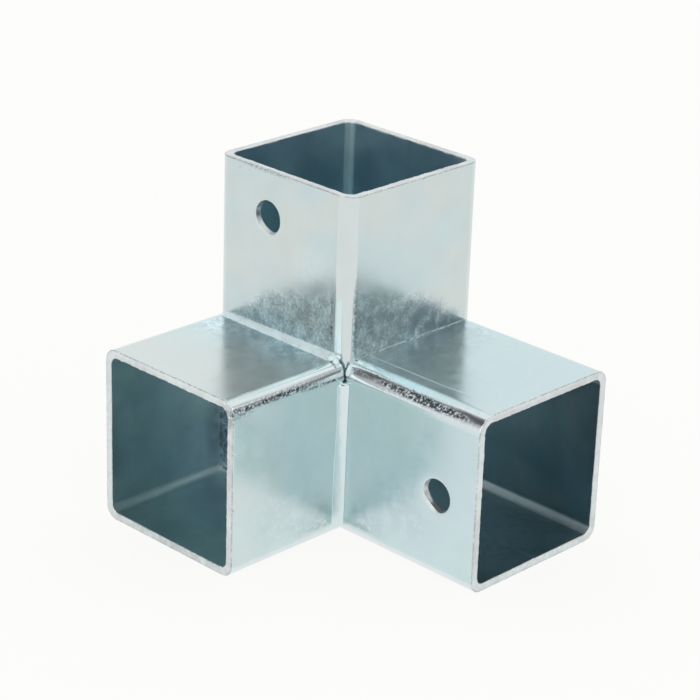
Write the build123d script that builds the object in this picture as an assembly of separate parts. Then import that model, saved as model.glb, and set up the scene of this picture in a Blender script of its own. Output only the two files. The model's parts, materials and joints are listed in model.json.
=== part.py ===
from build123d import *
import os

# Three-way corner connector: three lengths of rolled square steel tube, welded together.
# Millimetres, +Z up. The origin is on the underside, below the upright's centre line.

# Tube stock, the same for all three lengths
tube_width = 45.0  # outside, across the flats
tube_wall = 2.0
bend_inner_radius = 1.4  # inside of the rolled corners

# How far each tube reaches beyond the cube where they cross
side_reach = 36.0  # along +X
through_reach = 43.0  # along +Y
upright_reach = 41.0  # along +Z

# Screw holes, each through one wall only, on the +X side
screw_hole_diameter = 8.5
upright_hole_inset = 12.0  # centre below the upright's open end
upright_hole_offset = 5.1  # centre off the wall's middle, towards -Y
through_hole_inset = 12.3  # centre from the through tube's open end
through_hole_drop = 1.1  # centre below the wall's middle

# Weld beads, by the leg that lies on each tube
corner_weld_side_leg = 2.8  # upright bead in the inner corner, out along the side tube
corner_weld_through_leg = 1.3  # and out along the through tube
corner_weld_stop = 1.4  # how far that bead ends below the rolled edges
side_weld_flat_leg = 1.8  # bead at the upright's foot, out on the side tube's top
side_weld_rise_leg = 1.2  # and up the upright
through_weld_leg = 0.6  # fine seam between the upright and the through tube's top
weld_crown = 0.12  # rise of a bead's face, as a share of its legs' mean

# A coped lip ends this far short of where it would run out to nothing on a rolled edge
cope_stop = 1.2

half_width = tube_width / 2
bore_width = tube_width - 2 * tube_wall
bend_outer_radius = bend_inner_radius + tube_wall
lip_size = bend_outer_radius - cope_stop
flat_width = tube_width - 2 * bend_outer_radius  # of a tube's face, between its rolled corners


def tubeForm(cut_plane, length, solid=False):
    """A tube length, or its full outer form, that starts square on a plane."""
    outline = RectangleRounded(tube_width, tube_width, bend_outer_radius)
    if not solid:
        outline -= RectangleRounded(bore_width, bore_width, bend_inner_radius)
    return extrude(cut_plane * outline, length)


def screwHole(y, z):
    """The drill's way through the +X wall alone."""
    wall_middle = half_width - tube_wall / 2
    return Pos(wall_middle, y, z) * Rot(0, 90, 0) * Cylinder(screw_hole_diameter / 2, 2 * tube_wall)


def copedLip(cut_plane, x_side, z_side):
    """What a tube's end has beyond its cut plane, to fill the corner over a rolled edge."""
    strip_middle = half_width - lip_size / 2
    strip = Pos(x_side * strip_middle, 0, half_width + z_side * strip_middle)
    strip *= Box(lip_size, tube_width, lip_size)
    return (tubeForm(cut_plane, -lip_size) & strip) - through_form


def weldBead(corner_plane, x_leg, y_leg, length):
    """A fillet bead: two legs from the plane's origin, closed by a crowned face."""
    outline = Line((0, 0), (x_leg, 0))
    outline += SagittaArc((x_leg, 0), (0, y_leg), -weld_crown * (x_leg + y_leg) / 2)
    outline += Line((0, y_leg), (0, 0))
    return extrude(corner_plane * make_face(outline), length)


# The through tube runs past the other two, from the back of the corner to the +Y end
through_start = Plane(origin=(0, -half_width, half_width), x_dir=(1, 0, 0), z_dir=(0, 1, 0))
through_length = tube_width + through_reach
through_form = tubeForm(through_start, through_length, solid=True)
through_end_y = half_width + through_reach
through_tube = tubeForm(through_start, through_length)
through_tube -= screwHole(through_end_y - through_hole_inset, half_width - through_hole_drop)

# The upright stands on the through tube, and its end is coped over both rolled edges
upright_start = Plane(origin=(0, 0, tube_width), x_dir=(1, 0, 0), z_dir=(0, 0, 1))
upright_top_z = tube_width + upright_reach
upright_tube = tubeForm(upright_start, upright_reach)
upright_tube -= screwHole(-upright_hole_offset, upright_top_z - upright_hole_inset)
for x_side in (-1, 1):
    upright_tube += copedLip(upright_start, x_side, 1)

# The side tube butts on the through tube's +X face, and its lower wall is coped under it
side_start = Plane(origin=(half_width, 0, half_width), x_dir=(0, 1, 0), z_dir=(1, 0, 0))
side_tube = tubeForm(side_start, side_reach) + copedLip(side_start, 1, -1)

# The bead that stands in the inner corner, between the side tube and the through tube
inner_corner = Plane(origin=(half_width, half_width, bend_outer_radius), x_dir=(1, 0, 0), z_dir=(0, 0, 1))
corner_weld = weldBead(
    inner_corner, corner_weld_side_leg, corner_weld_through_leg, flat_width - corner_weld_stop
)

# The beads at the upright's foot: one on the side tube, one on the through tube
side_corner = Plane(
    origin=(half_width, flat_width / 2, tube_width), x_dir=(1, 0, 0), z_dir=(0, -1, 0)
)
side_weld = weldBead(side_corner, side_weld_flat_leg, side_weld_rise_leg, flat_width)
through_corner = Plane(
    origin=(-flat_width / 2, half_width, tube_width), x_dir=(0, 1, 0), z_dir=(1, 0, 0)
)
through_weld = weldBead(through_corner, through_weld_leg, through_weld_leg, flat_width)

pieces = {
    "through_tube": through_tube,
    "upright_tube": upright_tube,
    "side_tube": side_tube,
    "corner_weld": corner_weld,
    "side_weld": side_weld,
    "through_weld": through_weld,
}

os.makedirs("parts", exist_ok=True)
for node, shape in pieces.items():
    shape.label = node
    export_step(shape, f"parts/{node}.step")
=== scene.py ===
import bpy, bmesh, json, math
from mathutils import Matrix, Vector, noise


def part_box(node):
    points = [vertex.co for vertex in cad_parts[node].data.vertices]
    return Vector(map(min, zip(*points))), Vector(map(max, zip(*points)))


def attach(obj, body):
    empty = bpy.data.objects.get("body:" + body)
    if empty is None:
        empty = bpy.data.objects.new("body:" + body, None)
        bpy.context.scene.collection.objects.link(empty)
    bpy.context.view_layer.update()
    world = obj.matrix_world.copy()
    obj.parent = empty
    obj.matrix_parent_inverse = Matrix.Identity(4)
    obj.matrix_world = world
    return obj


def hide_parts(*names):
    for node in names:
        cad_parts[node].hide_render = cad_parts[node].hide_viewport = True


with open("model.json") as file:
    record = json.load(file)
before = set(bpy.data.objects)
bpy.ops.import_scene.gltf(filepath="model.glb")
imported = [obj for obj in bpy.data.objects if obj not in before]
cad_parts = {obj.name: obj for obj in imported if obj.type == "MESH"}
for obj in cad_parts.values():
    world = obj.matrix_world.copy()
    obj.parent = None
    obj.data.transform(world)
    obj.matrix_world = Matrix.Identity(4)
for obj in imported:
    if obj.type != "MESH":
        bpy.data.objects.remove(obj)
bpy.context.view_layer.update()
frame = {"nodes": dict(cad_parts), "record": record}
scene = bpy.context.scene
mm = 0.001
print("frame loaded:", ", ".join(sorted(frame["nodes"])))

# the sizes that every piece hangs on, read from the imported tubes, in mm
throughLow, throughHigh = (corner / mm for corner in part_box("through_tube"))
halfWidth = throughHigh.x
topHeight = throughHigh.z
midHeight = topHeight / 2
throughBack = throughLow.y
throughEnd = throughHigh.y
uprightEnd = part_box("upright_tube")[1].z / mm
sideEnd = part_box("side_tube")[1].x / mm
mounts = {m["name"]: m for m in frame["record"]["mounts"]}

# camera

cameraView = {
    "azimuth": 134.02,  # degrees, 0 looks along +Y
    "elevation": 22.80,
    "roll": 1.95,
    "distance": 606.95,  # mm
    "aim": (-4.29, -2.05, 33.23),  # mm
    "lens": 123.72,
    "sensor": 36,
}


def setCamera(view):
    azimuth, elevation, roll = (math.radians(view[k]) for k in ("azimuth", "elevation", "roll"))
    level = math.cos(elevation)
    back = Vector((math.sin(azimuth) * level, -math.cos(azimuth) * level, math.sin(elevation)))
    right = Vector((math.cos(azimuth), math.sin(azimuth), 0))
    up = back.cross(right)
    tiltedRight = right * math.cos(roll) + up * math.sin(roll)
    tiltedUp = up * math.cos(roll) - right * math.sin(roll)
    lens = bpy.data.cameras.new("photoCamera")
    lens.sensor_width = view["sensor"]
    lens.lens = view["lens"]
    lens.clip_start = 0.01
    lens.clip_end = 20
    camera = bpy.data.objects.new("photoCamera", lens)
    scene.collection.objects.link(camera)
    turn = Matrix((tiltedRight, tiltedUp, back)).transposed().to_4x4()
    place = (Vector(view["aim"]) + back * view["distance"]) * mm
    camera.matrix_world = Matrix.Translation(place) @ turn
    scene.camera = camera


setCamera(cameraView)
print("camera set")

# node helpers


def addNode(tree, kind, inputs=None, **settings):
    made = tree.nodes.new(kind)
    for key, value in settings.items():
        setattr(made, key, value)
    for key, value in (inputs or {}).items():
        if isinstance(value, bpy.types.NodeSocket):
            tree.links.new(value, made.inputs[key])
        else:
            made.inputs[key].default_value = value
    return made


def maths(tree, operation, a, b=0.0):
    return addNode(tree, "ShaderNodeMath", {0: a, 1: b}, operation=operation).outputs[0]


def remap(tree, value, low, high, start=0.0, end=1.0):
    ends = {"Value": value, "From Min": low, "From Max": high, "To Min": start, "To Max": end}
    eased = addNode(tree, "ShaderNodeMapRange", ends, interpolation_type="SMOOTHSTEP")
    return eased.outputs["Result"]


def mixFloat(tree, factor, a, b):
    return addNode(tree, "ShaderNodeMix", {"Factor": factor, "A": a, "B": b}).outputs["Result"]


def mixColor(tree, factor, a, b, blend="MIX"):
    made = addNode(tree, "ShaderNodeMix", {"Factor": factor}, data_type="RGBA", blend_type=blend)
    for socket, value in ((made.inputs["A"], a), (made.inputs["B"], b)):
        if isinstance(value, bpy.types.NodeSocket):
            tree.links.new(value, socket)
        else:
            socket.default_value = (*value, 1)
    return made.outputs["Result"]


def grain(tree, place, size, detail=2.0, rough=0.5, twist=0.0):
    # noise whose lumps are about this many mm across
    inputs = {"Vector": place, "Scale": 1 / (size * mm), "Detail": detail}
    inputs.update({"Roughness": rough, "Distortion": twist})
    return addNode(tree, "ShaderNodeTexNoise", inputs).outputs["Fac"]


# studio light: an even sky, with the soft boxes and dark flags that bright metal mirrors

studioSky = {
    "color": (0.98, 0.98, 0.97),
    "plain": 1.04,
    # azimuth from and to, elevation from and to (degrees, azimuth 0 is +X), soft edge, strength
    "leftBox": (-31, 28, 14, 56, 8, 1.6),
    "rightBox": (84, 133, 28, 58, 5, 1.6),
    "leftFlag": (-86, -43, 26, 54, 8, 0.12),
    "leftWall": (-84, -39, -8, 29, 5, 0.53),
    "rightFlag": (112, 156, -8, 27, 6, 0.27),
    "rightShade": (137, 158, 24, 40, 9, 0.55),
}


def skyBand(tree, angle, low, high, soft):
    rise = remap(tree, angle, low - soft / 2, low + soft / 2)
    fall = remap(tree, angle, high - soft / 2, high + soft / 2, 1.0, 0.0)
    return maths(tree, "MULTIPLY", rise, fall)


# the sky lights everything evenly, and only its mirror image has the boxes and flags
def lightStudio(sky):
    world = bpy.data.worlds.new("studio")
    scene.world = world
    world.use_nodes = True
    tree = world.node_tree
    tree.nodes.clear()
    place = addNode(tree, "ShaderNodeTexCoord").outputs["Generated"]
    unit = addNode(tree, "ShaderNodeVectorMath", {0: place}, operation="NORMALIZE").outputs[0]
    parts = addNode(tree, "ShaderNodeSeparateXYZ", {0: unit}).outputs
    azimuth = maths(tree, "DEGREES", maths(tree, "ARCTAN2", parts["Y"], parts["X"]))
    elevation = maths(tree, "DEGREES", maths(tree, "ARCSINE", parts["Z"]))
    level = sky["plain"]
    for name in ("leftWall", "leftFlag", "rightShade", "rightFlag", "leftBox", "rightBox"):
        west, east, low, high, soft, strength = sky[name]
        across = skyBand(tree, azimuth, west, east, soft)
        upward = skyBand(tree, elevation, low, high, soft)
        level = mixFloat(tree, maths(tree, "MULTIPLY", across, upward), level, strength)
    mirrored = addNode(tree, "ShaderNodeLightPath").outputs["Is Glossy Ray"]
    strength = mixFloat(tree, mirrored, 1.0, level)
    lit = {"Color": (*sky["color"], 1), "Strength": strength}
    glow = addNode(tree, "ShaderNodeBackground", lit)
    addNode(tree, "ShaderNodeOutputWorld", {"Surface": glow.outputs[0]})


lightStudio(studioSky)

floorLook = {
    "reach": 1500,  # mm, from the middle to each side
    "glow": (0.99, 0.99, 0.975),
    "paint": 0.9,
    "shadowShare": 0.1,  # how much of the floor takes the object's shadow
}


def layFloor(look):
    reach = look["reach"] * mm
    corners = [(-reach, -reach, 0), (reach, -reach, 0), (reach, reach, 0), (-reach, reach, 0)]
    mesh = bpy.data.meshes.new("floor")
    mesh.from_pydata(corners, [], [(0, 1, 2, 3)])
    floor = bpy.data.objects.new("floor", mesh)
    scene.collection.objects.link(floor)
    white = bpy.data.materials.new("floorWhite")
    white.use_nodes = True
    tree = white.node_tree
    tree.nodes.clear()
    glow = addNode(tree, "ShaderNodeEmission", {"Color": (*look["glow"], 1)})
    paint = addNode(tree, "ShaderNodeBsdfDiffuse", {"Color": (*[look["paint"]] * 3, 1)})
    share = {0: look["shadowShare"], 1: glow.outputs[0], 2: paint.outputs[0]}
    both = addNode(tree, "ShaderNodeMixShader", share)
    addNode(tree, "ShaderNodeOutputMaterial", {"Surface": both.outputs[0]})
    mesh.materials.append(white)


layFloor(floorLook)
scene.view_settings.view_transform = "Standard"
scene.cycles.max_bounces = 20  # light goes deep into the open tubes
scene.cycles.glossy_bounces = 14
print("studio lit")

# finishes: one zinc plating, on rolled skin, in the bores, on sawn ends and on weld metal.
# Each has its own cool, pale and blue zinc; lump sizes and heights are in mm.

skinFinish = {
    "metallic": 1.0,
    "roughness": (0.19, 0.26),
    "patina": 26,  # size of the patches where one zinc goes over into another
    "clouds": (7, 0.04),  # their size, and how far they darken
    "grains": ((0.42, 0.0016), (2.2, 0.006), (16, 0.02)),  # lump size and height
    "bendColor": (0.70, 0.77, 0.785),  # stretched zinc is whiter and brighter
    "bendRoughness": 0.11,
    "bendGrains": ((0.6, 0.03), (1.4, 0.09)),
    "bendCalm": 0.16,  # share of that grain where the bend isn't crinkled
    "heatGrains": ((0.7, 0.002), (2.4, 0.006)),
    "heatMottle": (0.18, 0.22),  # how far heat lightens and darkens, fine and broad
    "heatRoughness": 0.28,
    "heatTint": (0.975, 0.99, 1.0),
    # stains, with the painted shade and painted dark reflections laid on the stain mask
    "stainAndShadeColor": (0.32, 0.40, 0.44),
    "frostColor": (0.80, 0.86, 0.87),
}
uprightFinish = {
    **skinFinish,
    "colors": ((0.585, 0.695, 0.715), (0.635, 0.70, 0.69), (0.585, 0.675, 0.70)),
    "bendColor": (0.665, 0.73, 0.735),
}
sideFinish = {
    **skinFinish,
    "colors": ((0.635, 0.755, 0.765), (0.665, 0.745, 0.74), (0.60, 0.74, 0.755)),
    "bendColor": (0.73, 0.81, 0.835),
    "heatMottle": (0.09, 0.2),
    "heatTint": (1.01, 1.075, 1.14),
    "stainAndShadeColor": (0.34, 0.50, 0.53),
    "frostColor": (0.635, 0.69, 0.685),
}
throughFinish = {
    **skinFinish,
    "colors": ((0.605, 0.755, 0.765), (0.62, 0.745, 0.75), (0.61, 0.735, 0.775)),
    "bendColor": (0.75, 0.81, 0.84),
    "heatMottle": (0.16, 0.26),
    "heatTint": (0.86, 0.95, 1.01),
    "frostColor": (0.55, 0.69, 0.735),
}
beadFinish = {
    **skinFinish,
    "colors": ((0.70, 0.815, 0.83), (0.715, 0.81, 0.82), (0.69, 0.795, 0.83)),
    "grains": ((0.8, 0.002), (2.6, 0.010), (8, 0.02)),
}
weldFinish = {
    **skinFinish,
    "colors": ((0.74, 0.88, 0.92), (0.77, 0.88, 0.91), (0.73, 0.86, 0.925)),
    "metallic": 0.25,
    "roughness": (0.32, 0.45),
    "patina": 8,
    "clouds": (2.5, 0.08),
    "grains": ((0.5, 0.004), (1.4, 0.014), (5, 0.02)),
}
seamFinish = {
    **beadFinish,
    "colors": ((0.40, 0.51, 0.53), (0.32, 0.42, 0.45), (0.44, 0.55, 0.57)),
    "patina": 5,
    "clouds": (1.5, 0.2),
}
rimFinish = {
    **skinFinish,
    "colors": ((0.71, 0.78, 0.79), (0.74, 0.785, 0.785), (0.65, 0.68, 0.695)),
    "metallic": 0.6,
    "roughness": (0.28, 0.45),
    "patina": 6,
    "clouds": (1.6, 0.14),
    "grains": ((0.3, 0.008), (0.9, 0.016), (5, 0.01)),
    "bendColor": (0.72, 0.76, 0.78),
    "bendRoughness": 0.3,
    "bendGrains": ((0.4, 0.006), (1.0, 0.01)),
    # also the drilled walls' painted shade, and the darker bottoms of the sawn ends
    "stainAndShadeColor": (0.31, 0.32, 0.33),
}
boreFinish = {
    **skinFinish,
    "colors": ((0.52, 0.65, 0.685), (0.545, 0.68, 0.685), (0.49, 0.625, 0.69)),
    "roughness": (0.28, 0.34),
    "patina": 15,
    "clouds": (11, 0.16),
    "grains": ((0.8, 0.0005), (4, 0.002), (14, 0.012)),
    "bendColor": (0.575, 0.665, 0.68),
    "bendRoughness": 0.36,
    "bendGrains": ((1.0, 0.001), (3, 0.002)),
    "stainAndShadeColor": (0.22, 0.26, 0.29),
}
uprightBoreFinish = {
    **boreFinish,
    "colors": ((0.565, 0.72, 0.775), (0.59, 0.735, 0.765), (0.55, 0.70, 0.785)),
    # painted highlight: the bright streak on the bore's bends
    "bendColor": (0.86, 1.0, 1.0),
}
throughBoreFinish = {
    **boreFinish,
    # dull inner zinc, darkened further as painted shade deep in this open tube
    "colors": ((0.345, 0.46, 0.50), (0.39, 0.49, 0.515), (0.305, 0.47, 0.53)),
    # painted highlight: the bright streak on the bore's bends
    "bendColor": (0.98, 1.0, 1.0),
    "frostColor": (0.47, 0.62, 0.68),
}
# burrs and dark flakes, and the painted shade and painted dark reflections laid on the burr mask
burrAndShadeColor = (0.07, 0.09, 0.108)
heatCrystals = (0.75, 3.6)  # mm across, fine and broad

# how much of each a piece's points carry, from 0 to 1
maskNames = ("bend", "crinkle", "scorch", "stainAndShade", "frost", "burr")


def readMask(tree, name):
    return addNode(tree, "ShaderNodeAttribute", attribute_name=name).outputs["Fac"]


def grainHeight(tree, place, grains):
    height = 0.0
    for size, rise in grains:
        lumps = maths(tree, "MULTIPLY", grain(tree, place, size, 2, 0.6), rise)
        height = maths(tree, "ADD", height, lumps)
    return height


def dim(tree, color, share):
    shade = addNode(tree, "ShaderNodeCombineColor", {0: share, 1: share, 2: share}).outputs[0]
    return mixColor(tree, 1.0, color, shade, "MULTIPLY")


def fleck(tree, color, mask, pattern, over):
    return mixColor(tree, maths(tree, "MULTIPLY", mask, pattern), color, over)


def plate(name, finish):
    plating = bpy.data.materials.new(name)
    plating.use_nodes = True
    tree = plating.node_tree
    tree.nodes.clear()
    place = addNode(tree, "ShaderNodeTexCoord").outputs["Object"]
    bend, crinkle, scorch, stainAndShade, frost, burr = (readMask(tree, mask) for mask in maskNames)

    cool, pale, blue = finish["colors"]
    patinaSize = finish["patina"]
    patina = remap(tree, grain(tree, place, patinaSize, 3, 0.55, 0.6), 0.38, 0.64)
    cast = remap(tree, grain(tree, place, patinaSize * 1.7, 2), 0.46, 0.68)
    color = mixColor(tree, cast, mixColor(tree, patina, cool, pale), blue)
    color = mixColor(tree, bend, color, finish["bendColor"])
    cloudSize, depth = finish["clouds"]
    cloud = remap(tree, grain(tree, place, cloudSize, 4, 0.6), 0.3, 0.7, 1 - depth, 1.0)
    color = dim(tree, color, cloud)

    # coarse crystals where the weld's heat reached
    fineSize, broadSize = heatCrystals
    fineShare, broadShare = finish["heatMottle"]
    fine, broad = grain(tree, place, fineSize, 3, 0.75), grain(tree, place, broadSize, 5, 0.7)
    fine = remap(tree, fine, 0.38, 0.62, 1 - fineShare, 1 + fineShare)
    broad = remap(tree, broad, 0.38, 0.62, 1 - broadShare, 1 + broadShare)
    color = dim(tree, color, mixFloat(tree, scorch, 1.0, maths(tree, "MULTIPLY", fine, broad)))
    tinted = mixColor(tree, 1.0, color, finish["heatTint"], "MULTIPLY")
    color = mixColor(tree, scorch, color, tinted)

    blotch = remap(tree, grain(tree, place, 2.8, 6, 0.72), 0.38, 0.56)
    cloudy = remap(tree, grain(tree, place, 1.6, 4, 0.6), 0.3, 0.6, 0.5, 1.0)
    flaky = remap(tree, grain(tree, place, 0.7, 3, 0.7), 0.40, 0.56)
    # stains and burrs, and the painted shade and painted dark reflections that these masks also
    # carry
    color = fleck(tree, color, stainAndShade, blotch, finish["stainAndShadeColor"])
    color = fleck(tree, color, frost, cloudy, finish["frostColor"])
    color = fleck(tree, color, burr, flaky, burrAndShadeColor)

    bright, dull = finish["roughness"]
    roughness = remap(tree, grain(tree, place, cloudSize, 3, 0.6), 0.35, 0.65, bright, dull)
    roughness = mixFloat(tree, scorch, roughness, finish["heatRoughness"])
    roughness = mixFloat(tree, bend, roughness, finish["bendRoughness"])
    roughness = mixFloat(tree, burr, roughness, 0.45)

    height = grainHeight(tree, place, finish["grains"])
    crinkled = maths(tree, "MULTIPLY", bend, maths(tree, "ADD", crinkle, finish["bendCalm"]))
    for mask, grains in ((crinkled, "bendGrains"), (scorch, "heatGrains")):
        masked = maths(tree, "MULTIPLY", grainHeight(tree, place, finish[grains]), mask)
        height = maths(tree, "ADD", height, masked)
    bump = addNode(tree, "ShaderNodeBump", {"Height": height, "Distance": mm})

    look = {"Base Color": color, "Roughness": roughness, "Metallic": finish["metallic"]}
    look["Normal"] = bump.outputs[0]
    skin = addNode(tree, "ShaderNodeBsdfPrincipled", look)
    addNode(tree, "ShaderNodeOutputMaterial", {"Surface": skin.outputs[0]})
    return plating


uprightSkin = plate("uprightSkin", uprightFinish)
sideSkin = plate("sideSkin", sideFinish)
throughSkin = plate("throughSkin", throughFinish)
beadSkin = plate("beadSkin", beadFinish)
weldMetal = plate("weldMetal", weldFinish)
seamMetal = plate("seamMetal", seamFinish)
sawnRim = plate("sawnRim", rimFinish)
sideBore = plate("sideBore", boreFinish)
uprightBore = plate("uprightBore", uprightBoreFinish)
throughBore = plate("throughBore", throughBoreFinish)
print("zinc finishes mixed")

# tube stock: a square section with rolled corners, lofted along w from one end to the other.
# Walls are numbered by where they face: 0 is +u, 1 is +v, 2 is -u, 3 is -v. A bend is the
# radius off its first flat, the radius onto its second, and the turn between.

tubeStock = {
    "wall": 2.0,
    "turns": (0, 2, 4, 7, *range(10, 81, 5), 83, 86, 88, 90),  # of the points round a bend
    "flatStep": 0.6,  # between points across a flat
    "stationStep": 1.7,  # and between rings along the tube
    "startGaps": (0.15, 0.5, 0.9, 1.3, 1.7, 2.1, 2.6),  # closer rings behind the start
    "endGaps": (0.25, 0.8, 1.6),  # and before the end
    "markShares": (-1, -0.6, 0, 0.6, 1),  # points laid out across a mark
    "leastGap": 0.6,
    "rimRound": 0.25,  # outer edge of a sawn end
    "boreRound": 0.12,  # its inner edge
    "boreBend": (2.1, 2.1, 45),
    "holePatch": 7.0,  # half of the square that is laid out around a hole
    "copeStop": 2.2,  # how far a coped lip reaches round the edge beneath it
    "copeReach": 6.0,  # length of tube over which the cope is taken up
}
plainBend = (3.4, 3.4, 45)
wallNormals = [Vector(n) for n in ((1, 0), (0, 1), (-1, 0), (0, -1))]
wallSigns = (1, -1, -1, 1)  # which way a wall's own coordinate runs, going round
slotOrder = {"skin": 0, "rim": 1, "bore": 2, "base": 2}  # materials of a tube


def smooth(value, low, high):
    share = max(0.0, min(1.0, (value - low) / (high - low)))
    return share * share * (3 - 2 * share)


def bendCurve(bend):
    # the rolled corner, at each turn: how far in from the first flat, and from the second
    first, second, change = bend
    inward, forward = 0.0, 0.0
    curve = {0: (0.0, 0.0)}
    for step in range(360):  # quarter degrees
        turn = (step + 0.5) / 4
        radius = first + (second - first) * smooth(turn, change - 8, change + 8)
        inward += radius * math.sin(math.radians(turn)) * math.radians(0.25)
        forward += radius * math.cos(math.radians(turn)) * math.radians(0.25)
        curve[(step + 1) / 4] = (inward, forward)
    return [(turn, curve[turn][0], forward - curve[turn][1]) for turn in tubeStock["turns"]]


def bendDrop(curve, distance, known):
    # how far in from one flat the bend is, this far in from the other (1 is the first flat)
    pairs = sorted((spot[known], spot[3 - known]) for spot in curve)
    for (low, above), (high, below) in zip(pairs, pairs[1:]):
        if distance <= high:
            return above + (below - above) * (max(distance, low) - low) / (high - low)
    return 0.0


def sectionPoints(tube, curves):
    # round the section: outer place, inner place, normal, turn in a bend (-1 on a flat), wall
    # and the wall's own coordinate
    section = []
    halfBore = halfWidth - tubeStock["wall"]
    boreCurve = bendCurve(tubeStock["boreBend"])
    for wall, normal in enumerate(wallNormals):
        along = Vector((-normal.y, normal.x))
        start = -halfWidth + curves[wall - 1][-1][1]
        end = halfWidth - curves[wall][0][2]
        boreStart, boreEnd = -halfBore + boreCurve[-1][1], halfBore - boreCurve[0][2]
        steps = int((end - start) / tubeStock["flatStep"])
        sides = {round(start + (end - start) * i / steps, 3) for i in range(1, steps)}
        for markWall, middle, _, halfSide, *_ in tube["marks"]:
            if markWall == wall:
                middle *= wallSigns[wall]
                sides |= {round(middle + halfSide * share, 3) for share in tubeStock["markShares"]}
        for side in sorted(s for s in sides if start < s < end):
            boreSide = boreStart + (side - start) / (end - start) * (boreEnd - boreStart)
            outer, inner = normal * halfWidth + along * side, normal * halfBore + along * boreSide
            section.append((outer, inner, normal, -1, wall, side * wallSigns[wall]))
        for (turn, inward, short), (_, boreInward, boreShort) in zip(curves[wall], boreCurve):
            facing = normal * math.cos(math.radians(turn)) + along * math.sin(math.radians(turn))
            outer = normal * (halfWidth - inward) + along * (halfWidth - short)
            inner = normal * (halfBore - boreInward) + along * (halfBore - boreShort)
            section.append((outer, inner, facing, turn, wall, 0.0))
    return section


def stationPlaces(tube):
    start, end = tube["start"], tube["end"] - tubeStock["rimRound"]
    if tube["openStart"]:
        start += tubeStock["rimRound"]
    places = {start, end}
    steps = int((end - start) / tubeStock["stationStep"])
    even = [start + (end - start) * i / steps for i in range(1, steps)]
    near = [start + gap for gap in tubeStock["startGaps"]]
    near += [end - gap for gap in tubeStock["endGaps"]]
    for _, _, middle, _, halfLength, _ in tube["marks"]:
        if halfLength < 5:
            near += [middle + halfLength * share for share in tubeStock["markShares"]]
    leastGap = tubeStock["leastGap"]
    if tube["hole"]:
        reach = tubeStock["holePatch"]
        middle = tube["hole"][1]
        even = [w for w in even if abs(w - middle) > reach + leastGap]
        near = [w for w in near if abs(w - middle) > reach + 0.1]
        near += [middle - reach + i for i in range(int(2 * reach) + 1)]
    even = [w for w in even if all(abs(w - other) > leastGap for other in near)]
    places |= {round(w, 3) for w in even + near if start < w < end}
    return sorted(places)


def quarterRound(radius, count):
    # from the side face to the end face: depth below the one, distance short of the other
    turns = [math.radians(90 * i / count) for i in range(1, count)]
    return [(radius * (1 - math.cos(t)), radius * (1 - math.sin(t))) for t in turns]


def rimSteps():
    # over a sawn end, from the outer face to the inner: depth, distance short of the end, burr
    wall, outer, inner = (tubeStock[k] for k in ("wall", "rimRound", "boreRound"))
    steps = [(depth, short, 0.4) for depth, short in quarterRound(outer, 5)]
    steps += [(outer, 0.0, 0.15)]
    steps += [(outer + (wall - outer - inner) * i / 5, 0.0, 0.0) for i in range(1, 6)]
    steps += [(wall - depth, short, 0.0) for depth, short in reversed(quarterRound(inner, 3))]
    return steps


def ragged(u, v, w, size, seed):
    # noise from -1 to 1 whose lumps are about this size
    return noise.noise(Vector((u / size + seed, v / size, w / size)))


def blob(markWall, middle, station, halfSide, halfLength, wall, side, w):
    # 1 in the middle of a mark, 0 from its edge on
    if wall != markWall:
        return 0.0
    lengthwise = ((w - station) / halfLength) ** 2
    if halfLength > 15:  # a ridge along the tube keeps its height until near its ends
        lengthwise = lengthwise ** 4
    return max(0.0, 1 - ((side - middle) / halfSide) ** 2 - lengthwise) ** 1.5


weldHeat = {
    "shoulder": 9,  # mm from the middle of the upright's wall towards its front edge
    "rise": 13,  # mm that the heat went up there
    "climb": 0.4,  # more for each mm from there to the front edge
    "fall": 26,  # mm the other way, over which it would sink to nothing
    "out": 17,  # mm out along the tops of the other two tubes
    "soft": (5, 14),  # mm over which it fades, up and out
}


def heatAt(point):
    away = max(abs(point.x), abs(point.y)) - halfWidth
    past = min(point.x, point.y) - weldHeat["shoulder"] if away < 0.3 else 0.0
    rise = weldHeat["rise"] * (1 - (max(0.0, -past) / weldHeat["fall"]) ** 2)
    rise += weldHeat["climb"] * max(0.0, past)
    softUp, softOut = weldHeat["soft"]
    up = smooth(rise + softUp / 2 - point.z + topHeight, 0, softUp)
    out = smooth(weldHeat["out"] - away, 0, softOut)
    return up * out * smooth(point.z, topHeight - 3, topHeight - 1)


def smudgeAt(point, softSpots):
    total = 0.0
    for middle, halves, strength in softSpots:
        away = sum(((p - m) / h) ** 2 for p, m, h in zip(point, middle, halves))
        total += strength * max(0.0, 1 - away)
    return total


def blobs(marks, wall, side, w):
    return sum(mark[5] * blob(*mark[:5], wall, side, w) for mark in marks)


wear = {
    "flashWidth": 0.3,  # mm, of the stock's seam in a bore
    "flashWander": 0.15,
    "saw": (0.10, 0.05),  # mm that a sawn end is ragged, coarse and fine
    "burrFrom": 1.7,  # mm into the wall, from where burrs stand into the bore
    "burrs": (0.5, 0.12, 0.1),  # single ones, a slow wave, how far the edge lies back between
    "drilled": 0.05,  # mm that a drilled wall is ragged
}


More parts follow.
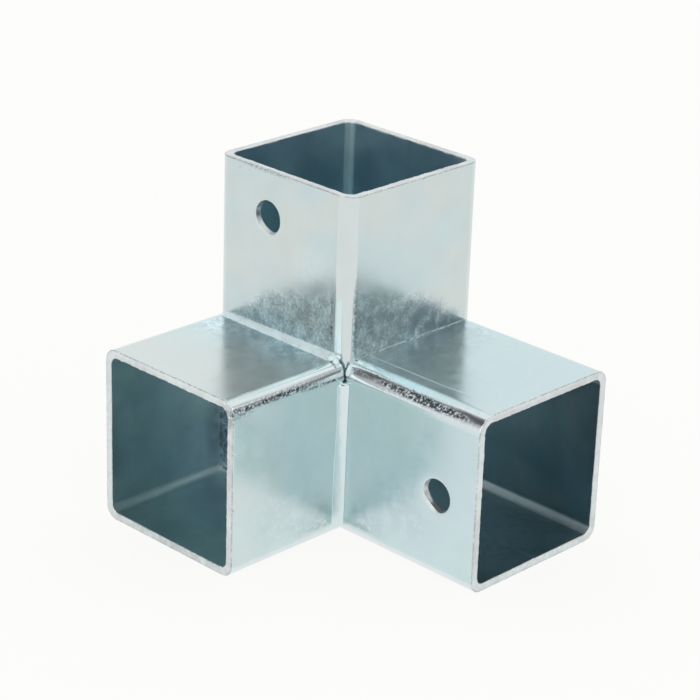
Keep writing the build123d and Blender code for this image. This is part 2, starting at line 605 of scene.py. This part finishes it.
def tubePoint(tube, spot, depth, w, band, sign):
    outer, inner, normal, turn, wall, side = spot
    wall = wall if turn < 0 else -1
    flat, level = outer.lerp(inner, depth / tubeStock["wall"]), w
    if band == "skin":
        flat = flat + normal * blobs(tube["marks"], wall, side, w)
    seamWall, middle, height = tube["seam"]
    if band == "bore" and wall == seamWall:
        wander = wear["flashWander"] * ragged(w, 0, 0, 6, 9)
        uneven = height * (0.7 + 0.6 * ragged(w, 0, 0, 2.2, 5))
        off = (side - middle - wander) / wear["flashWidth"]
        flat = flat - normal * uneven * math.exp(-(off**2))
    if not sign:
        taken = max(0.0, 1 - (w - tube["start"]) / tubeStock["copeReach"]) ** 2
        return flat, level - tube["cope"](flat.x, flat.y) * taken
    # a sawn end is ragged along the cut, and has burrs at its inner edge
    x, y = outer
    coarse, fine = wear["saw"]
    saw = abs(ragged(x, y, w, 1.3, 3)) * coarse + abs(ragged(x, y, depth, 0.45, 8)) * fine
    level -= sign * saw * tube["sawMarks"]
    if depth > wear["burrFrom"]:
        single, wave, back = wear["burrs"]
        burr = max(0.0, ragged(x, y, w, 0.8, 15)) * single + ragged(x, y, w, 2.6, 25) * wave
        flat = flat - normal * (burr - back) * tube["rimBurrs"]
    return flat, level


def tubeRings(tube, stations):
    # one circuit through the wall: depth, station, band, burr, and which end it is
    wall = tubeStock["wall"]
    rings = [(0.0, w, "skin", 0.0, 0) for w in stations]
    rings += [(depth, tube["end"] - short, "rim", burr, 1) for depth, short, burr in rimSteps()]
    rings += [(wall, w, "bore", 0.0, 0) for w in reversed(stations)]
    if tube["openStart"]:
        for depth, short, burr in reversed(rimSteps()):
            rings.append((depth, tube["start"] + short, "rim", burr, -1))
    else:
        rings += [(wall * i / 5, tube["start"], "base", 0.0, 0) for i in range(4, 0, -1)]
    return rings


def tubeMasks(tube, spot, point, w, band, burr):
    turn, wall, side = spot[3:]
    onFlat = band == "skin" and turn < 0
    bend = smooth(turn, 2, tube["bendBlend"]) * smooth(90 - turn, 2, 14) if turn >= 0 else 0.0
    stainAndShade = blobs(tube["stainsAndShade"], wall, side, w) if onFlat else 0.0
    return {
        "bend": bend,
        "crinkle": smudgeAt(point, tube["crinkles"]),
        "scorch": heatAt(point) if onFlat else 0.0,
        "stainAndShade": min(1.0, stainAndShade) if onFlat else smudgeAt(point, tube["darkPatches"]),
        "frost": min(1.0, smudgeAt(point, tube["frosts"])),
        "burr": max(burr, smudgeAt(point, tube["softSpots"])),
    }


def holeCells(tube, section, stations):
    # the columns and rows of points that a hole's square takes, on the wall that faces +u
    if not tube["hole"]:
        return [], []
    middle, along, _ = tube["hole"]
    reach = tubeStock["holePatch"] + 0.01
    columns = []
    for i, (_, _, _, turn, wall, side) in enumerate(section):
        if turn < 0 and wall == 0 and abs(side - middle) < reach:
            columns.append(i)
    return columns, [k for k, w in enumerate(stations) if abs(w - along) < reach]


def holeSteps():
    # from the outer face, over a broken edge, down the drilled wall and out on the inner face:
    # growth of the radius, depth, band
    wall = tubeStock["wall"]
    outside = [(2.2, 0.0), (1.4, 0.02), (0.6, 0.05), (0.2, 0.08)]
    drilled = [(0.07, 0.1), (0.0, 0.2), (0.0, 0.7), (0.0, 1.3)]
    drilled += [(0.0, wall - 0.1), (0.07, wall - 0.02)]
    inside = [(0.2, wall), (1.4, wall)]
    bands = (("skin", outside), ("rim", drilled), ("bore", inside))
    return [(grow, depth, band) for band, steps in bands for grow, depth in steps]


def nearTurn(turn, middle, reach):
    # 1 at this many degrees round, 0 from the reach on
    away = (math.degrees(turn) - middle + 180) % 360 - 180
    return max(0.0, 1 - (away / reach) ** 2)


def join(ring, following):
    return [(ring[n], ring[n - 1], following[n - 1], following[n]) for n in range(len(ring))]


def drillHole(tube, turns, border, farBorder, points, faces, slots, masks):
    middle, along, radius = tube["hole"]
    *dentPlace, dent = tube["holeDent"]
    previous = border
    for grow, depth, band in holeSteps():
        ring = []
        for turn in turns:
            pressed = dent * nearTurn(turn, *dentPlace)
            wobble = 0.0
            if band != "skin":
                wobble = ragged(math.cos(turn), math.sin(turn), depth, 0.35, 40) * wear["drilled"]
            if depth > 0.15:  # where the edge is pressed in, the drilled wall stands further in
                wobble -= pressed
            reach = radius + grow + wobble
            sunk = max(depth, min(1.0, pressed * 0.8)) if depth == 0.2 else depth
            side, level = middle + reach * math.cos(turn), along + reach * math.sin(turn)
            ring.append(len(points))
            points.append(Vector(tube["toWorld"](halfWidth - sunk, side, level)))
            for values in masks.values():
                values.append(0.0)
            # painted shade on one side of the drilled wall
            if 0.2 < depth < tubeStock["wall"] - 0.05:
                masks["stainAndShade"][-1] = 4 * nearTurn(turn, *tube["holeShade"])
        faces += join(previous, ring)
        slots += [slotOrder[band]] * len(ring)
        previous = ring
    faces += join(previous, farBorder)
    slots += [slotOrder["bore"]] * len(farBorder)


def loftTube(tube):
    section = sectionPoints(tube, [bendCurve(bend) for bend in tube["bends"]])
    stations = stationPlaces(tube)
    rings = tubeRings(tube, stations)
    count = len(section)
    points, faces, slots = [], [], []
    masks = {mask: [] for mask in maskNames}
    for depth, w, band, burr, sign in rings:
        for spot in section:
            flat, level = tubePoint(tube, spot, depth, w, band, sign)
            point = Vector(tube["toWorld"](flat.x, flat.y, level))
            points.append(point)
            for mask, value in tubeMasks(tube, spot, point, w, band, burr).items():
                masks[mask].append(value)

    columns, rows = holeCells(tube, section, stations)
    lastBore = 2 * len(stations) + len(rimSteps()) - 1  # the ring inside station 0
    cut = {(k, i) for k in rows[:-1] for i in columns[:-1]}
    cut |= {(lastBore - k - 1, i) for k, i in cut}
    for k, ring in enumerate(rings):
        following = (k + 1) % len(rings)
        slot = slotOrder[ring[2]]
        if ring[2] == "skin" and rings[following][2] == "rim":
            slot = slotOrder["rim"]
        for i in range(count):
            if (k, i) not in cut:
                j = (i + 1) % count
                here, there = k * count, following * count
                faces.append((here + i, here + j, there + j, there + i))
                slots.append(slot)

    if tube["hole"]:
        middle, along, _ = tube["hole"]
        edge = [(rows[0], i) for i in columns[:-1]] + [(k, columns[-1]) for k in rows[:-1]]
        edge += [(rows[-1], i) for i in reversed(columns[1:])]
        edge += [(k, columns[0]) for k in reversed(rows[1:])]
        turns = [math.atan2(stations[k] - along, section[i][5] - middle) for k, i in edge]
        border = [k * count + i for k, i in edge]
        farBorder = [(lastBore - k) * count + i for k, i in edge]
        drillHole(tube, turns, border, farBorder, points, faces, slots, masks)
    materials = (tube["skin"], sawnRim, tube["bore"])
    return makePiece(tube["name"], points, faces, slots, masks, materials)


def makePiece(name, points, faces, slots, masks, materials):
    mesh = bpy.data.meshes.new(name)
    mesh.from_pydata([point * mm for point in points], [], faces)
    for material in materials:
        mesh.materials.append(material)
    mesh.polygons.foreach_set("material_index", slots)
    mesh.polygons.foreach_set("use_smooth", [True] * len(faces))
    for key, values in masks.items():
        mesh.attributes.new(key, "FLOAT", "POINT").data.foreach_set("value", values)
    shape = bmesh.new()
    shape.from_mesh(mesh)
    unused = [vert for vert in shape.verts if not vert.link_faces]
    bmesh.ops.delete(shape, geom=unused, context="VERTS")
    bmesh.ops.recalc_face_normals(shape, faces=shape.faces)
    shape.to_mesh(mesh)
    shape.free()
    mesh.set_sharp_from_angle(angle=math.radians(55))
    piece = bpy.data.objects.new(name, mesh)
    scene.collection.objects.link(piece)
    return piece


def settle(piece, node):
    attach(piece, "root")
    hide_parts(node)
    print(piece.name, "built,", len(piece.data.polygons), "faces")


def holePlace(name, sideAxis, sideMiddle, alongAxis):
    # off the wall's middle, along the tube and radius, by the axes (0 to 2) that these run on
    mount = mounts[name]
    place = [value / mm for value in mount["pos_m"]]
    return place[sideAxis] - sideMiddle, place[alongAxis], mount["dims"]["r_mm"]


# Marks, and stains with painted shade, stand on a flat wall: wall, middle (side, w), half sizes
# (side, w), and the rise in mm or the strength. Dark flakes and painted shade, crinkles, frosts
# and dark patches lie as soft spots in space: middle, half sizes, strength.

# the tube that runs through, from the back of the corner to its +Y end

throughTube = {
    "name": "throughTube",
    "bends": ((4.8, 4.8, 45), plainBend, plainBend, plainBend),
    "bendBlend": 26,  # degrees of turn over which the flat's zinc becomes the bend's
    "start": throughBack,
    "end": throughEnd,
    "openStart": True,
    "hole": holePlace("through_screw_hole", 2, midHeight, 1),
    "holeDent": (215, 55, 0.75),  # where round it the edge is pressed in, half width, depth
    "holeShade": (175, 55),  # where the drilled wall is darkest, with painted shade, half width
    "sawMarks": 1.0,  # how much of the plain wear its ends have
    "rimBurrs": 0.7,
    "marks": [(1, 14.4, 36, 0.3, 21, 0.05)],  # drawn line along the top
    "stainsAndShade": [
        (1, -2, 32, 16, 8.5, 1.0),  # the dark side of the heat marks, with a painted dark reflection of the upright over it
        # painted shade on this face inside the side tube, in the corner by its -Y wall
        (0, -10, -18, 14, 5, 0.9),
        # painted shade low on this face near the corner, for the floor's contact shadow in its
        # reflection
        (0, -17, 30, 7, 9, 0.35),
        (0, -19.5, 28, 3, 7, 0.5),
        (0, -8, 42, 11, 14, 0.2),
    ],
    "softSpots": [  # dark flakes on the rolled edge, and painted shade where the side tube's root is
        ((21.25, 44, 43.3), (1.2, 19, 1.0), 1.4),
        ((21.4, 50, 43.1), (1.3, 14, 1.1), 1.5),
        ((20.9, 25.5, 43.6), (1.1, 3.2, 0.7), 0.9),
        # painted shade inside the side tube, where its -Y wall meets this face
        ((halfWidth, -18.3, 12), (1, 2.2, 14), 0.8),
        ((22.4, 21.9, 41.6), (0.6, 0.8, 1.8), 1.0),  # painted shade behind the crack
    ],
    "crinkles": [((21.2, 43, 43.4), (1.8, 17, 1.7), 1.1)],
    "frosts": [((2, 42, 45), (40, 45, 1.2), 1.0), ((0, 44, 2), (22, 40, 2.4), 1.0)],
    # darker at the bottom of the sawn end
    "darkPatches": [((0, throughEnd, 1), (23, 1, 1.8), 0.4)],
    "seam": (3, 0.5, 0.3),  # flash of the stock's own seam: wall, side, height
    "cope": lambda u, v: 0.0,
    "toWorld": lambda u, v, w: (u, w, v + midHeight),
    "skin": throughSkin,
    "bore": throughBore,
}
settle(loftTube(throughTube), "through_tube")
throughBends = [bendCurve(bend) for bend in throughTube["bends"]]

# the upright, coped over both rolled edges of the through tube


def uprightCope(u, v):
    if u > 0:
        drop = bendDrop(throughBends[0], halfWidth - u, 1)
    else:
        drop = bendDrop(throughBends[1], halfWidth + u, 2)
    return min(tubeStock["copeStop"], drop)


uprightTube = {
    "name": "uprightTube",
    "bends": ((5.8, 2.9, 30), plainBend, plainBend, plainBend),
    "bendBlend": 4,
    "start": topHeight,
    "end": uprightEnd,
    "openStart": False,
    "hole": holePlace("upright_screw_hole", 1, 0, 2),
    "holeDent": (250, 50, 0.35),
    "holeShade": (140, 55),
    "sawMarks": 1.0,
    "rimBurrs": 0.8,
    "marks": [
        (0, -15, 84.5, 0.5, 0.35, -0.12),  # pits below the rim
        (0, -11.4, 84.6, 0.4, 0.35, -0.1),
        (0, -10, 84.2, 0.3, 0.3, -0.08),
        (0, 17.3, 50, 0.35, 0.5, -0.15),
        (1, -2.2, 46.8, 0.9, 1.9, 0.12),  # spatter smears beside the seam
        (1, 12.8, 47.4, 0.5, 1.0, 0.1),
    ],
    "stainsAndShade": [
        (1, -13, 46.5, 6, 4, 1.0),
        (1, -7, 49, 7, 6, 1.1),
        (1, -2, 50.5, 4.5, 7.5, 0.9),
        (1, 10, 54, 9, 9, 0.35),
    ],
    "softSpots": [  # dark flakes beside the front edge, low down
        ((19.6, 22, 54), (0.9, 2, 13), 0.75),
        ((22.5, 17.5, 55), (1, 0.5, 10), 0.6),
        ((22.5, 17.3, 51.5), (1, 0.7, 1.4), 0.9),
        ((22.3, -6, 86), (1, 12, 0.9), 0.5),  # below the rim
    ],
    "crinkles": [((21, 21.5, 72), (2, 2.5, 15), 0.35)],
    "frosts": [
        ((22.5, 12, 65), (1, 10, 7), 0.3),
        ((-2.2, 22.5, 46.8), (1.0, 1, 2.1), 0.9),
        ((12.8, 22.5, 47.4), (0.6, 1, 1.2), 0.9),
        ((22.5, 1.5, 56), (1, 2.6, 1.8), 0.5),
    ],
    "darkPatches": [],
    "seam": (2, 1.2, 0.25),
    "cope": uprightCope,
    "toWorld": lambda u, v, w: (u, v, w),
    "skin": uprightSkin,
    "bore": uprightBore,
}
settle(loftTube(uprightTube), "upright_tube")

# the side tube, butted on the through tube, with its lower wall coped under it

cornerCrack = {
    "gap": 0.12,  # mm that the end stands off at the upper inner corner
    "widening": 0.35,  # and more towards the crack's foot
    "pit": 1.0,  # depth of the crater below it
}


def sideCope(u, v):
    if v < 0:
        return min(tubeStock["copeStop"], bendDrop(throughBends[3], halfWidth + v, 1))
    height = v + midHeight
    crack = cornerCrack["gap"] + cornerCrack["widening"] * smooth(44 - height, 0, 2.5)
    crack *= smooth(height, 40.8, 41.6) * smooth(u, 19.5, 21)
    pit = cornerCrack["pit"] * math.exp(-(((height - 40.2) / 0.6) ** 2)) * smooth(u, 20, 21.5)
    return -(crack + pit)


sideTube = {
    "name": "sideTube",
    "bends": ((3.3, 3.3, 45), plainBend, plainBend, plainBend),
    "bendBlend": 14,
    "start": halfWidth,
    "end": sideEnd,
    "openStart": False,
    "hole": None,
    "sawMarks": 1.2,
    "rimBurrs": 1.0,
    "marks": [  # nicks at the sawn end
        (0, 9.7, 58, 0.25, 0.5, -0.1),
        (0, -4.5, 58, 0.25, 0.6, -0.12),
    ],
    "stainsAndShade": [
        (1, 8, 29.3, 9, 4.2, 0.7),  # the dark side of the heat marks, with a painted dark reflection of the upright over it
        (1, -8, 31, 11, 7, 0.2),
        # painted shade low on this face near the corner, for the floor's contact shadow in its
        # reflection
        (0, -17, 32, 7, 11, 0.4),
        (0, -19, 28, 3.5, 8, 0.5),
        (0, -11, 45, 11, 12, 0.2),
    ],
    "softSpots": [
        ((43, 22.3, 42.7), (15, 0.9, 0.95), 1.3),  # dark flakes low on the rolled edge
        ((56, 22.2, 42.2), (5, 1.1, 1.6), 0.8),
        # painted dark reflection along the foot of the rolled edge, near the corner
        ((29, 22.5, 41.8), (9, 0.6, 0.35), 1.2),
        ((24.5, 19.4, 45), (0.4, 0.6, 0.6), 0.8),  # painted shadow under the knot
        ((24.7, 20.3, 44.8), (0.4, 0.7, 0.6), 0.9),
        ((24.5, 21.3, 44.3), (0.45, 0.6, 0.6), 0.9),
        ((58.6, 20.5, 41), (1.2, 3, 4), 0.6),  # on the rim's corner
    ],
    "crinkles": [((43, 22.3, 42.8), (17, 1.6, 1.4), 1.0)],
    "frosts": [
        ((52, 2, 45), (22, 40, 1.2), 0.7),
        ((40, -20.5, 10), (20, 2.5, 13), 0.15),
        ((40, 20.5, 16), (24, 2.5, 22), 0.12),
    ],
    # darker at the bottom of the sawn end, and painted shade in the inner corner of the bore at
    # the -Y wall
    "darkPatches": [((sideEnd, 0, 1), (1, 23, 1.8), 0.4), ((halfWidth, -19.8, 12), (0.8, 1.4, 15), 2)],
    "seam": (1, -3, 0.2),
    "cope": sideCope,
    "toWorld": lambda u, v, w: (w, u, v + midHeight),
    "skin": sideSkin,
    "bore": sideBore,
}
settle(loftTube(sideTube), "side_tube")

# weld beads: sections along a corner line, with uneven legs and toes that run out on the faces

shadedSide = Vector((0.84, 0.16, -0.52))  # the side of a drop that gets painted shade beneath
beadRoot = 0.3  # mm that a bead's root stands behind the corner line
toeSink = 0.06  # and its toes behind the faces


def legAt(legs, along):
    # legs are pairs of place and size, blended between the places
    previous = legs[0]
    for following in legs[1:]:
        if along <= following[0]:
            share = (along - previous[0]) / (following[0] - previous[0])
            return previous[1] + (following[1] - previous[1]) * max(0.0, share)
        previous = following
    return legs[-1][1]


def beadMesh(bead):
    steps = int((bead["to"] - bead["from"]) / bead["step"])
    corner, axis = Vector(bead["corner"]), Vector(bead["axis"])
    outward, upward = Vector(bead["outward"]), Vector(bead["upward"])
    points, faces = [], []
    for k in range(steps + 1):
        share = k / steps
        along = bead["from"] + (bead["to"] - bead["from"]) * share
        ends = min(1.0, share * steps / bead["endSteps"], (1 - share) * steps / bead["endSteps"])
        taper = math.sqrt(1 - (1 - ends) ** 2) * 0.97 + 0.03
        wander = ragged(along, 0, 0, bead["ripple"], bead["seed"]) * bead["unevenness"]
        a = legAt(bead["outLegs"], along) * taper * (1 + wander)
        b = legAt(bead["upLegs"], along) * taper * (1 - wander * 0.7)
        centre = corner + axis * along
        points.append(centre - (outward + upward) * beadRoot)
        for n in range(bead["sectionSteps"] + 1):
            turn = math.pi / 2 * n / bead["sectionSteps"]
            out = a * max(0.0, math.cos(turn)) ** bead["hollow"]
            up = b * max(0.0, math.sin(turn)) ** bead["hollow"]
            lump = ragged(along, out * 1.5, up * 1.5, bead["lumpSize"], bead["seed"] + 7)
            rise = lump * bead["lumpHeight"] * math.sin(2 * turn) * 0.7
            out += rise - (toeSink if n == bead["sectionSteps"] else 0)
            up += rise - (toeSink if n == 0 else 0)
            points.append(centre + outward * out + upward * up)
    ring = bead["sectionSteps"] + 2
    for k in range(steps):
        for n in range(ring):
            m = (n + 1) % ring
            faces.append((k * ring + n, k * ring + m, (k + 1) * ring + m, (k + 1) * ring + n))
    faces.append(tuple(range(ring)))
    faces.append(tuple(range(steps * ring, (steps + 1) * ring)))
    return points, faces


def addLump(points, faces, burrs, lump):
    # a drop of weld metal: middle, half sizes, tilt about Y in degrees, seed, strength of the
    # painted shade beneath
    middle, halves, tilt, seed, shadeBeneath = lump
    ball = bmesh.new()
    bmesh.ops.create_icosphere(ball, subdivisions=4, radius=1.0)
    first = len(points)
    turn = Matrix.Rotation(math.radians(tilt), 3, "Y")
    for vert in ball.verts:
        swell = 1 + 0.12 * ragged(*vert.co, 0.9, seed) + 0.03 * ragged(*vert.co, 0.4, seed + 4)
        reach = Vector(c * h for c, h in zip(vert.co * swell, halves))
        points.append(Vector(middle) + turn @ reach)
        burrs.append(smooth(vert.co.dot(shadedSide), 0.6, 0.9) * shadeBeneath)
    for face in ball.faces:
        faces.append(tuple(first + vert.index for vert in face.verts))
    ball.free()


def layBead(bead):
    points, faces = beadMesh(bead)
    burrs = [0.0] * len(points)
    for lump in bead["lumps"]:
        addLump(points, faces, burrs, lump)
    masks = {mask: [0.0] * len(points) for mask in maskNames}
    # the painted shade under the drops is laid on the burr mask
    masks["burr"] = burrs
    return makePiece(bead["name"], points, faces, [0] * len(faces), masks, (bead["metal"],))


cornerBead = {
    "name": "cornerBead",
    "corner": (halfWidth, halfWidth, 0),
    "outward": (1, 0, 0),
    "upward": (0, 1, 0),
    "axis": (0, 0, 1),
    "from": 2.2,
    "to": 40.3,
    "step": 0.3,
    "sectionSteps": 12,
    "endSteps": 3,  # over which an end rounds off
    # where along the bead, and how far it reaches there: out on the side tube
    "outLegs": ((3, 3.1), (21, 2.9), (21.6, 2.7), (32, 2.3), (32.6, 2.45), (40, 2.6)),
    "upLegs": ((3, 1.0), (21, 1.15), (32, 1.3), (40, 1.5)),  # and on the through tube
    "hollow": 2.6,  # 1 is a full round face, 2 a flat one, more is hollow
    "ripple": 5,  # mm from one to the next
    "unevenness": 0.05,  # share of the legs that the ripples make
    "lumpSize": 3.0,
    "lumpHeight": 0.05,
    "seed": 3,
    "lumps": [((22.8, 22.9, 40.0), (1.2, 0.95, 0.4), 0, 2, 1.6)],  # lip below the crater, with painted shade beneath it
    "metal": beadSkin,
}
settle(layBead(cornerBead), "corner_weld")

sideBead = {
    "name": "sideBead",
    "corner": (halfWidth, 0, topHeight),
    "outward": (1, 0, 0),
    "upward": (0, 0, 1),
    "axis": (0, 1, 0),
    "from": -19.6,
    "to": 19.4,
    "step": 0.3,
    "sectionSteps": 12,
    "endSteps": 4,
    "outLegs": ((-19.6, 1.6), (-17, 1.7), (5, 1.8), (19.6, 1.95)),  # on the side tube's top
    "upLegs": ((-17.8, 0.85), (10.5, 1.37), (19.6, 1.5)),
    "hollow": 1.6,
    "ripple": 1.7,
    "unevenness": 0.13,
    "lumpSize": 1.2,
    "lumpHeight": 0.12,
    "seed": 11,
    "lumps": [
        ((23.4, 18.7, 45.5), (1.3, 1.45, 0.8), 10, 5, 0.7),  # the knot at the bead's inner end, with painted shade beneath its drops
        ((23.7, 20.5, 44.8), (0.8, 0.8, 1.2), 10, 6, 1.0),
        ((22.5, 20.0, 45.8), (0.5, 0.8, 0.7), 0, 9, 0.0),
        ((21.9, 23.15, 43.1), (0.75, 0.6, 1.4), -25, 12, 0.0),  # fill beside the crack
    ],
    "metal": weldMetal,
}
settle(layBead(sideBead), "side_weld")

throughSeam = {
    "name": "throughSeam",
    "corner": (0, halfWidth, topHeight),
    "outward": (0, 1, 0),
    "upward": (0, 0, 1),
    "axis": (1, 0, 0),
    "from": -19.3,
    "to": 19.3,
    "step": 0.3,
    "sectionSteps": 8,
    "endSteps": 3,
    "outLegs": ((-19, 0.35), (5, 0.4), (13, 0.35), (19, 0.45)),
    "upLegs": ((-19, 0.35), (5, 0.4), (13, 0.35), (19, 0.4)),
    "hollow": 1.8,
    "ripple": 1.6,
    "unevenness": 0.15,
    "lumpSize": 0.9,
    "lumpHeight": 0.08,
    "seed": 23,
    "lumps": [],
    "metal": seamMetal,
}
settle(layBead(throughSeam), "through_weld")
